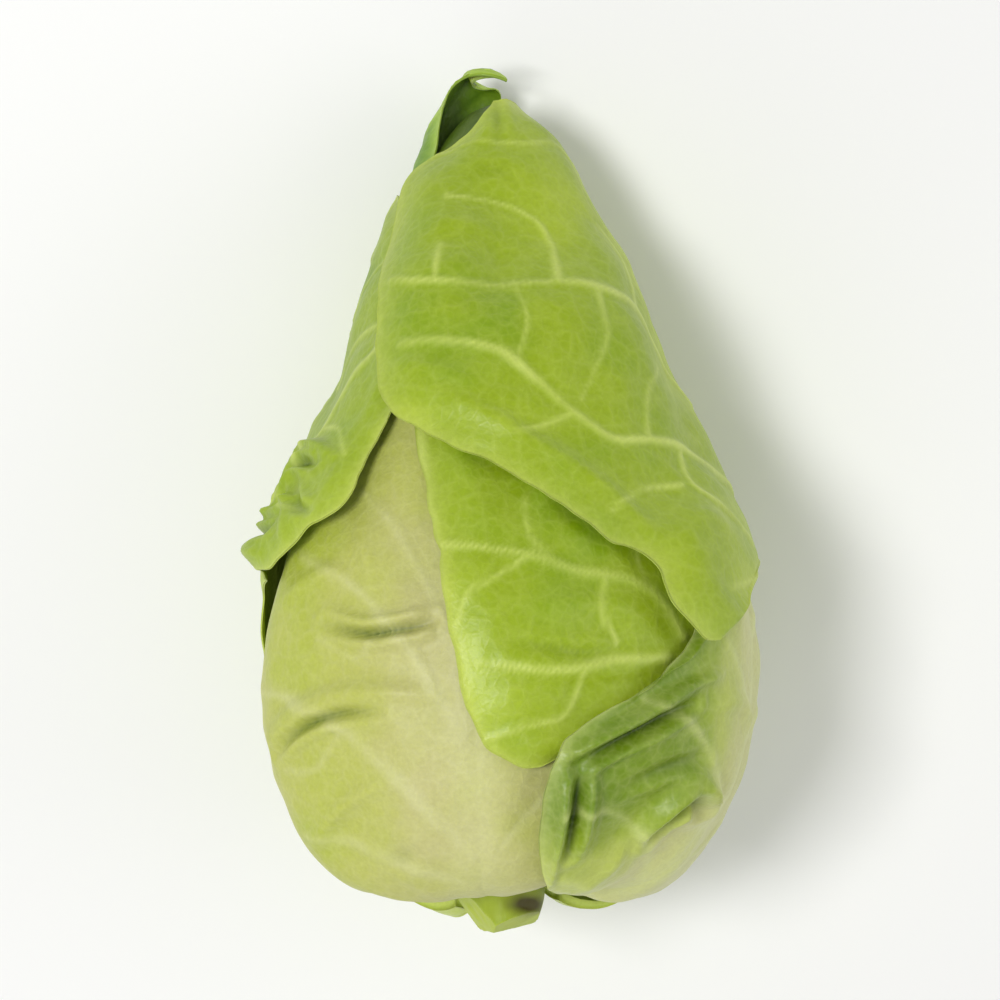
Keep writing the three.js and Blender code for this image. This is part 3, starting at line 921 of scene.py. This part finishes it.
def build_stem():
    """The cut stump: leaf scars round it, a slanting knife cut and a slightly domed, fibrous face."""
    wide = 120
    angles = np.linspace(0, 2 * math.pi, wide, endpoint=False)
    outline = [(STEM_RADIUS, 7.2, 0.0)] + [(STEM_RADIUS, z, 0.0) for z in np.linspace(6, STEM_CUT + 1.0, 34)]
    outline += [(STEM_RADIUS - 0.5 - 0.9 * k, STEM_CUT + 0.35 / (k + 1), 1.0) for k in range(12)]
    rows = []
    cut = []
    for radius, z, face in outline:
        ring = np.stack([radius * np.sin(angles), -radius * np.cos(angles), np.full(wide, z)], axis=1)
        rows.append(ring)
        cut.append(np.full(wide, face))
    points = np.vstack(rows)
    cut = np.concatenate(cut)
    angle = np.arctan2(points[:, 0], -points[:, 1])
    radius = np.hypot(points[:, 0], points[:, 1])
    lobes = 0.9 * np.sin(3 * angle + 0.6) + 0.5 * np.sin(5 * angle + 2.0)
    narrow = 1 - 0.16 * smooth(2 - points[:, 2], 0, 11)
    scale = narrow * (1 + lobes / STEM_RADIUS)
    points[:, 0] *= scale
    points[:, 1] *= scale
    points[:, 2] += (0.16 * points[:, 0] + 0.10 * points[:, 1]) * smooth(-points[:, 2], 2, 8)
    # knife facets
    for normal, reach, in_cut in (((-0.80, -0.20, -0.60), 7.6, 1.0), ((0.42, -0.20, -0.88), 8.2, 1.0)):
        normal = np.array(normal) / np.linalg.norm(normal)
        beyond = np.maximum(points @ normal - reach, 0)
        points -= beyond[:, None] * normal
        cut = np.maximum(cut, in_cut * (beyond > 0.05))
    # a hollow pressed in on the right, which the stem material colours near black as painted shade
    across = (points[:, 0] - 6.5) / 4.8
    up = (points[:, 2] + 2.2) / 2.3
    hollow = np.exp(-(across**2) - up**2) * smooth(-points[:, 1], 0, 4)
    points[:, 1] += 2.2 * hollow
    points += (0.22 * noise(points, 2.5, 3) + 0.35 * noise(points, 7, 4))[:, None] * np.array([1, 1, 0.6])
    points[:, 0] -= 1.0
    long = len(outline)
    j, i = np.meshgrid(np.arange(long - 1), np.arange(wide), indexing="ij")
    a, b = (j * wide + i).ravel(), (j * wide + (i + 1) % wide).ravel()
    faces = np.stack([b, a, a + wide, b + wide], axis=1)
    middle = points[-wide:].mean(axis=0)
    points = np.vstack([points, middle])
    last = (long - 1) * wide + np.arange(wide)
    centre = np.full(wide, len(points) - 1)
    cap = np.stack([np.roll(last, -1), last, centre, centre], axis=1)
    layers = {"cut": np.append(cut, 1.0), "hollow": np.append(hollow, 0.0)}
    piece = mesh_object("stem_stump", to_row(points), np.concatenate([faces, cap]), layers)
    settle(piece, "stem", stem_material())


for spec in LEAVES:
    settle(build_leaf(spec), spec["name"], tissue[spec["slot"]])
build_heart()
build_stem()


# ---------------------------------------------------------------- floor, light and camera

def build_floor():
    bpy.ops.mesh.primitive_plane_add(size=6, location=(0, 0, 0))
    floor = bpy.context.object
    floor.name = "floor"
    material, tree, shader = node_tree("floor_paper")
    shader.inputs["Base Color"].default_value = (0.93, 0.93, 0.92, 1)
    shader.inputs["Roughness"].default_value = 0.9
    floor.data.materials.append(material)


def build_light(name, place, aim, size, power, colour=(1, 1, 1)):
    lamp = bpy.data.lights.new(name, "AREA")
    lamp.size = size
    lamp.energy = power
    lamp.color = colour
    holder = bpy.data.objects.new(name, lamp)
    holder.location = place
    holder.rotation_euler = (Vector(aim) - Vector(place)).to_track_quat("-Z", "Y").to_euler()
    bpy.context.scene.collection.objects.link(holder)


build_floor()
build_light("key", (-0.4, 0.15, 1.1), (0, 0, 0.05), 0.28, 7.3)
build_light("fill_right", (0.9, 0.1, 0.5), (0, 0, 0.05), 0.8, 2.2)
build_light("fill_base", (-0.4, -0.9, 0.6), (0, 0, 0.05), 0.8, 1.8)

world = bpy.data.worlds.new("studio")
world.use_nodes = True
world.node_tree.nodes["Background"].inputs["Color"].default_value = (1, 1, 1, 1)
world.node_tree.nodes["Background"].inputs["Strength"].default_value = 0.42
bpy.context.scene.world = world
bpy.context.scene.view_settings.view_transform = "Standard"

# The camera looks down on the head, a little from the side of its base.
BASE_SIDE = math.radians(10)
DISTANCE = 0.685
tilt = LIE_ANGLE - BASE_SIDE
backwards = Vector((0, math.sin(tilt), math.cos(tilt)))
rightwards = Vector((1, 0, 0))
upwards = backwards.cross(rightwards)
low, high = cad_box
target = (Vector(low) + Vector(high)) / 2
camera_data = bpy.data.cameras.new("camera")
camera_data.lens = 100
camera_data.sensor_width = 36
camera = bpy.data.objects.new("camera", camera_data)
turn = Matrix((rightwards, upwards, backwards)).transposed().to_4x4()
camera.matrix_world = Matrix.Translation(target + backwards * DISTANCE) @ turn
bpy.context.scene.collection.objects.link(camera)
bpy.context.scene.camera = camera
